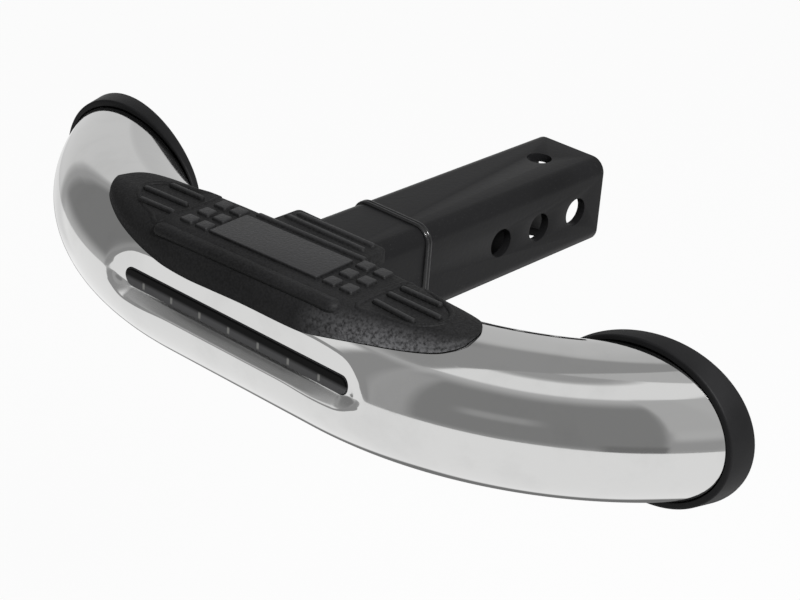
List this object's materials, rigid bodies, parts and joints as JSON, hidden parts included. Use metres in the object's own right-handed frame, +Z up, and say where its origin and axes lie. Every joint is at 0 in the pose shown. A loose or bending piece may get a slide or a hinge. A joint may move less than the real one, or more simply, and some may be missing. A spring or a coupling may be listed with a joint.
{
  "type": "hitch step",
  "caption": "Receiver-mounted rear step: swept polished round tube with a pressed light pocket, black moulded pad and end caps, on a square tube with pin holes.",
  "frame": {"origin": "on the square receiver tube's axis at the middle of the three cross pin holes", "axes": "+X along the step to its right end seen from behind the vehicle, +Y forward into the vehicle along the square tube, +Z up"},
  "size_m": [0.4778, 0.268, 0.0878],
  "materials": {
    "polished_stainless": "polished stainless steel",
    "cap_plastic": "matte black moulded",
    "pad_rubber": "grained matte black",
    "clip_plastic": "natural moulded",
    "gasket_rubber": "matte black",
    "smoked_lens": "smoked clear",
    "housing_plastic": "matte black moulded",
    "circuit_board": "coated board",
    "lamp": "clear moulded",
    "black_powder_coat": "satin black powder coat",
    "gloss_black": "gloss black",
    "weld_steel": "satin black over weld"
  },
  "bodies": {
    "root": {"step_tube": "polished_stainless", "end_cap_left": "cap_plastic", "end_cap_right": "cap_plastic", "step_pad": "pad_rubber", "pad_clip_1": "clip_plastic", "pad_clip_2": "clip_plastic", "pad_clip_3": "clip_plastic", "pad_clip_4": "clip_plastic", "light_gasket": "gasket_rubber", "light_lens": "smoked_lens", "light_housing": "housing_plastic", "led_board": "circuit_board", "led_1": "lamp", "led_2": "lamp", "led_3": "lamp", "led_4": "lamp", "led_5": "lamp", "led_6": "lamp", "led_7": "lamp", "cable_grommet": "gasket_rubber", "receiver_tube": "black_powder_coat", "stop_ring": "gloss_black", "weld_bead": "weld_steel"}
  },
  "joints": []
}
